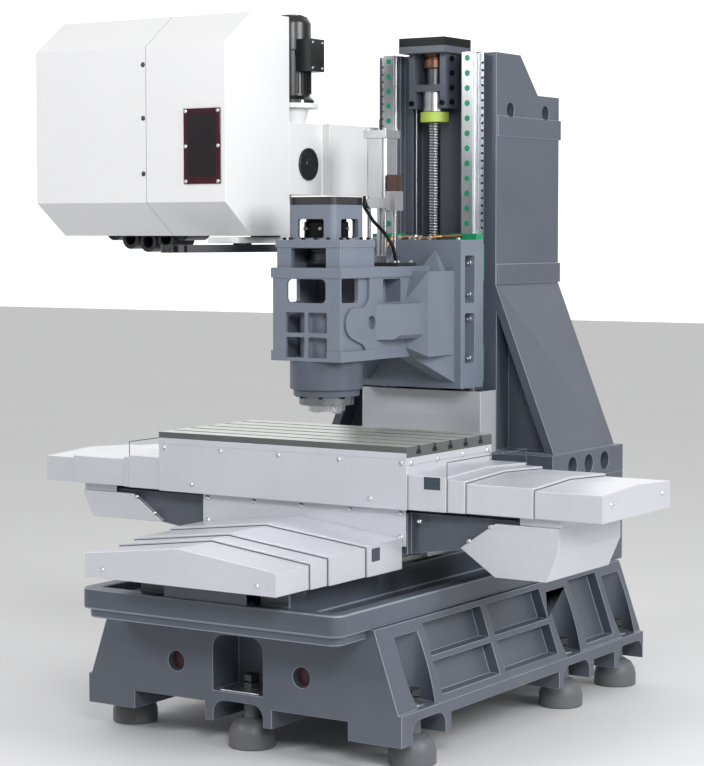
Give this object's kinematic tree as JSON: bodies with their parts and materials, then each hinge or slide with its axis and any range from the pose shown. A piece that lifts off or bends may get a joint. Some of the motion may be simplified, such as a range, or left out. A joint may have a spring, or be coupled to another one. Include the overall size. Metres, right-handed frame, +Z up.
{
  "type": "vertical machining centre",
  "caption": "Bare vertical machining centre: C-shaped cast frame, T-slot table on a saddle under telescopic covers, spindle head on column rails, side tool magazine.",
  "frame": {"origin": "centre of the bounding box's footprint, on the floor", "axes": "+X along the table to the operator's right, +Y from the front to the column, +Z up"},
  "size_m": [2.212, 2.052, 2.404],
  "materials": {
    "cast_grey": "satin grey enamel on the castings",
    "silver_paint": "smooth silver-grey enamel on the sheet covers",
    "magazine_white": "white enamel",
    "window": "dark red-brown tinted sheet",
    "ground_iron": "ground table iron",
    "steel": "ground steel",
    "dark_steel": "blackened steel",
    "black": "black motor enamel",
    "green": "green end seals",
    "lime": "yellow-green bumper",
    "light_steel": "light alloy",
    "brown": "red-brown coil housing"
  },
  "bodies": {
    "frame": {"bed": "cast_grey", "bed_rim": "cast_grey", "levelling_feet": "dark_steel", "y_rails": "steel", "y_screw": "steel", "y_cover_bracket": "cast_grey", "y_cover_1": "silver_paint", "column": "cast_grey", "column_apron": "silver_paint", "z_rails": "steel", "z_screw": "steel", "z_screw_bracket": "cast_grey", "z_bumper": "lime", "z_motor_plate": "dark_steel", "magazine_housing": "magazine_white", "magazine_window": "window", "magazine_axle": "dark_steel", "magazine_bracket": "magazine_white", "arm_gearbox": "magazine_white", "gearbox_cap": "black", "arm_motor": "black", "change_arm": "dark_steel"},
    "disc": {"tool_disc": "black"},
    "saddle": {"saddle": "cast_grey", "saddle_carriages": "steel", "x_rails": "steel", "saddle_skirt": "silver_paint", "saddle_boxes": "silver_paint", "x_cover_brackets": "silver_paint", "x_cover_right_4": "silver_paint", "x_cover_left_4": "silver_paint", "y_cover_4": "silver_paint"},
    "right_cover_3": {"x_cover_right_3": "silver_paint"},
    "left_cover_3": {"x_cover_left_3": "silver_paint"},
    "right_cover_2": {"x_cover_right_2": "silver_paint"},
    "left_cover_2": {"x_cover_left_2": "silver_paint"},
    "front_cover_2": {"y_cover_2": "silver_paint"},
    "front_cover_3": {"y_cover_3": "silver_paint"},
    "table": {"table": "ground_iron", "table_skirt": "silver_paint", "table_carriages": "steel", "x_covers_1": "silver_paint"},
    "head": {"head": "cast_grey", "z_slide": "cast_grey", "z_carriages": "green", "spindle_housing": "steel", "motor_tower": "cast_grey", "cylinder_stand": "dark_steel", "release_cylinder": "light_steel", "cylinder_valve": "brown"},
    "spindle": {"spindle_nose": "steel"}
  },
  "joints": [
    {"name": "saddle_slide", "type": "slide", "parent": "frame", "child": "saddle", "axis": [0, 1, 0], "range_m": [-0.367, 0.183]},
    {"name": "table_slide", "type": "slide", "parent": "saddle", "child": "table", "axis": [1, 0, 0], "range_m": [-0.329, 0.471]},
    {"name": "head_slide", "type": "slide", "parent": "frame", "child": "head", "axis": [0, 0, 1], "range_m": [0, 0.55]},
    {"name": "spindle_spin", "type": "hinge", "parent": "head", "child": "spindle", "pos_m": [0, -0.206, 1.1], "axis": [0, 0, 1], "continuous": true},
    {"name": "disc_spin", "type": "hinge", "parent": "frame", "child": "disc", "pos_m": [-0.745, -0.161, 1.923], "axis": [0, 1, 0], "continuous": true},
    {"name": "right_cover_2_slide", "type": "slide", "parent": "saddle", "child": "right_cover_2", "axis": [1, 0, 0], "range_m": [-0.22, 0.315]},
    {"name": "left_cover_2_slide", "type": "slide", "parent": "saddle", "child": "left_cover_2", "axis": [1, 0, 0], "range_m": [-0.22, 0.315]},
    {"name": "right_cover_3_slide", "type": "slide", "parent": "saddle", "child": "right_cover_3", "axis": [1, 0, 0], "range_m": [-0.11, 0.158]},
    {"name": "left_cover_3_slide", "type": "slide", "parent": "saddle", "child": "left_cover_3", "axis": [1, 0, 0], "range_m": [-0.11, 0.158]},
    {"name": "front_cover_2_slide", "type": "slide", "parent": "frame", "child": "front_cover_2", "axis": [0, 1, 0], "range_m": [-0.123, 0.062]},
    {"name": "front_cover_3_slide", "type": "slide", "parent": "frame", "child": "front_cover_3", "axis": [0, 1, 0], "range_m": [-0.245, 0.123]}
  ],
  "couplings": [
    {"joint": "right_cover_2_slide", "follows": "table_slide", "ratio": 0.6666},
    {"joint": "right_cover_3_slide", "follows": "table_slide", "ratio": 0.3333},
    {"joint": "left_cover_2_slide", "follows": "table_slide", "ratio": 0.6666},
    {"joint": "left_cover_3_slide", "follows": "table_slide", "ratio": 0.3333},
    {"joint": "front_cover_2_slide", "follows": "saddle_slide", "ratio": 0.3333},
    {"joint": "front_cover_3_slide", "follows": "saddle_slide", "ratio": 0.6666}
  ]
}
